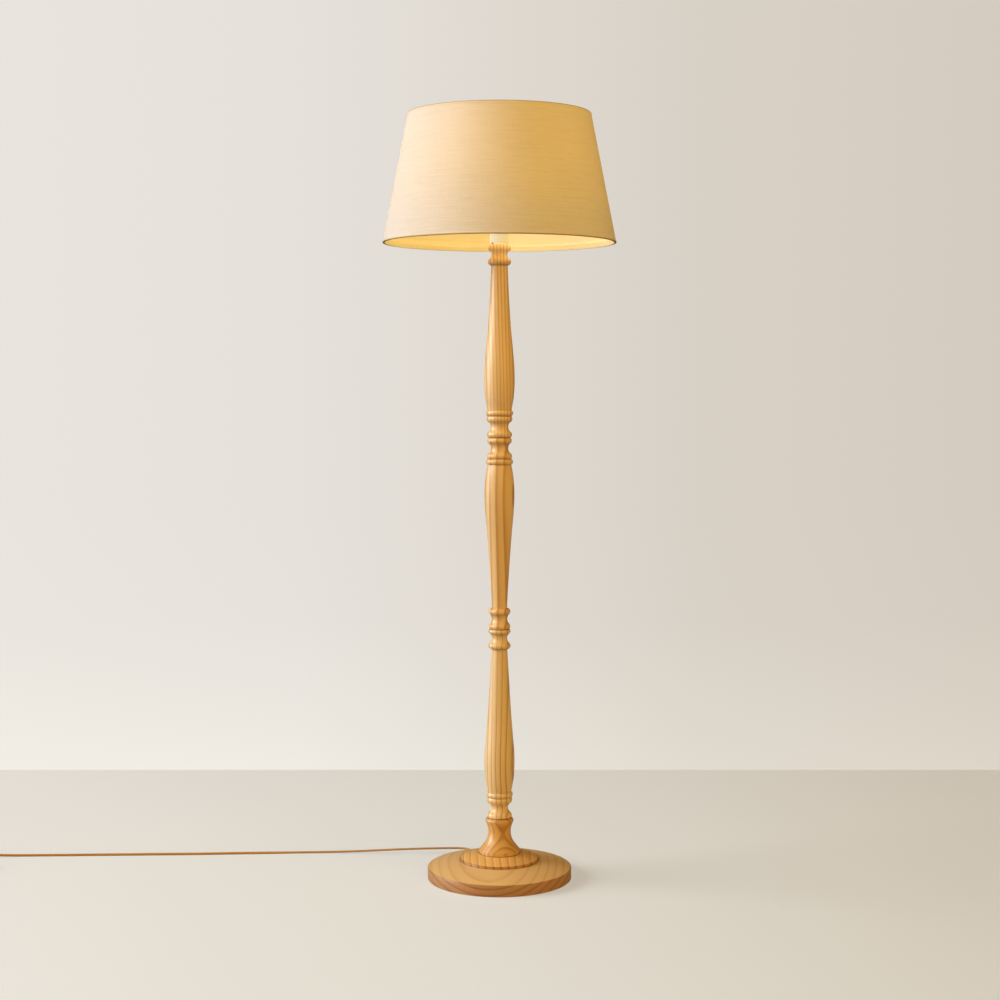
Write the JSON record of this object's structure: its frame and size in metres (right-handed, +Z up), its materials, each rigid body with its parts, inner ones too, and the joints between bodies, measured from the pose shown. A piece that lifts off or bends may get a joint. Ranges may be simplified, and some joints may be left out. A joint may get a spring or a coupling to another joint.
{
  "type": "floor lamp",
  "caption": "Floor lamp with a turned pine candlestick column on a round weighted base, a tapered linen drum shade, an E27 lampholder and a flex with a foot switch.",
  "frame": {"origin": "on the floor, on the column's axis, at the middle of the underside", "axes": "+Z up the column, +Y to the back, where the flex leaves the base; the flex runs off to -X"},
  "size_m": [1.426, 0.45, 1.4851],
  "materials": {
    "pine": "clear satin varnish",
    "felt": "pressed felt",
    "steel": "zinc plated",
    "brass": "bare",
    "gold_flex": "gold twin flex",
    "gold_plastic": "moulded, gold brown",
    "cream_plastic": "moulded, cream",
    "ceramic": "steatite white",
    "white_wire": "white coated wire",
    "linen": "plain woven linen",
    "linen_trim": "folded linen band",
    "liner": "smooth translucent film",
    "opal_glass": "opal",
    "bulb_metal": "bare",
    "black_glass": "black vitrite"
  },
  "bodies": {
    "lamp": {"base_disc": "pine", "plinth_disc": "pine", "flared_foot": "pine", "lower_column": "pine", "middle_column": "pine", "upper_column": "pine", "felt_pad": "felt", "ballast_plate": "steel", "ballast_screws": "steel", "plinth_screws": "steel", "tie_tube": "steel", "tie_washer": "steel", "tie_nut": "steel", "threaded_inserts": "steel", "joint_studs": "steel", "holder_nipple": "steel", "nipple_lock_nut": "steel", "inner_cable": "gold_flex", "holder_wires": "cream_plastic", "holder_cap": "cream_plastic", "holder_skirt": "cream_plastic", "shade_ring": "cream_plastic", "contact_block": "ceramic", "centre_contact": "brass", "terminal_screws": "brass", "thread_shell": "brass", "carrier_plate": "white_wire", "carrier_ring": "white_wire", "carrier_stays": "white_wire", "cord_bush": "gold_plastic", "cord_lead": "gold_flex", "cord_link": "gold_flex", "cord_coil": "gold_flex", "cord_tail": "gold_flex", "switch_leads": "gold_flex", "plug_lead": "gold_flex", "coil_ties": "cream_plastic", "switch_base": "gold_plastic", "switch_cover": "gold_plastic", "switch_sleeves": "gold_plastic", "switch_block": "ceramic", "switch_contacts": "brass", "switch_spring": "steel", "switch_screws": "steel", "plug_body": "gold_plastic", "plug_relief": "gold_plastic", "plug_pins": "brass"},
    "shade": {"shade_seat": "white_wire", "shade_arms": "white_wire", "shade_top_ring": "white_wire", "shade_bottom_ring": "white_wire", "shade_liner": "liner", "shade_fabric": "linen", "shade_top_hem": "linen_trim", "shade_bottom_hem": "linen_trim"},
    "bulb_lift": {"bulb_contact": "bulb_metal", "bulb_insulator": "black_glass"},
    "bulb": {"bulb_cap": "bulb_metal", "bulb_glass": "opal_glass"},
    "foot_button": {"switch_button": "gold_plastic"}
  },
  "joints": [
    {"name": "shade_turn", "type": "hinge", "parent": "lamp", "child": "shade", "pos_m": [0, 0, 1.46], "axis": [0, 0, 1], "continuous": true},
    {"name": "bulb_rise", "type": "slide", "parent": "lamp", "child": "bulb_lift", "axis": [0, 0, 1], "range_m": [0, 0.00998]},
    {"name": "bulb_turn", "type": "hinge", "parent": "bulb_lift", "child": "bulb", "pos_m": [0, 0, 1.3], "axis": [0, 0, 1], "range_deg": [0, 990]},
    {"name": "button_press", "type": "slide", "parent": "lamp", "child": "foot_button", "axis": [0, 0, -1], "range_m": [0, 0.0025], "stiffness_N_per_m": 3000, "deforming": ["switch_spring"]}
  ],
  "couplings": [
    {"joint": "bulb_rise", "follows": "bulb_turn", "m_per_rad": 0.00057757}
  ]
}
